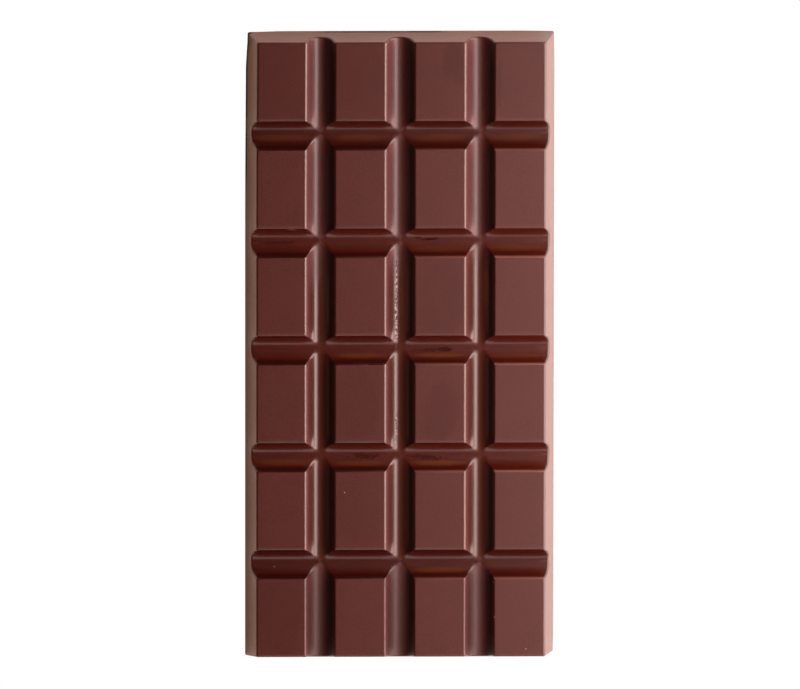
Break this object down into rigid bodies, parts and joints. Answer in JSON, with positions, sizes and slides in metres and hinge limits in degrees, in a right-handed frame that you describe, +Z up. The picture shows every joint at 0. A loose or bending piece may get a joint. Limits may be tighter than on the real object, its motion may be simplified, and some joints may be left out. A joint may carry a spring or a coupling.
{
  "type": "chocolate bar",
  "caption": "Moulded dark chocolate bar lying flat, scored by rounded grooves into a grid of raised rectangular blocks with a sloped rim.",
  "frame": {"origin": "middle of the flat underside", "axes": "+Z up, out of the moulded side; +Y along the bar, towards the end at the top of the picture; +X across the bar"},
  "size_m": [0.077, 0.1588, 0.008],
  "materials": {
    "chocolate": "dark milk chocolate with the soft satin sheen of a polished mould, faint release marks on the block tops"
  },
  "bodies": {
    "root": {"chocolate_bar": "chocolate"}
  },
  "joints": []
}
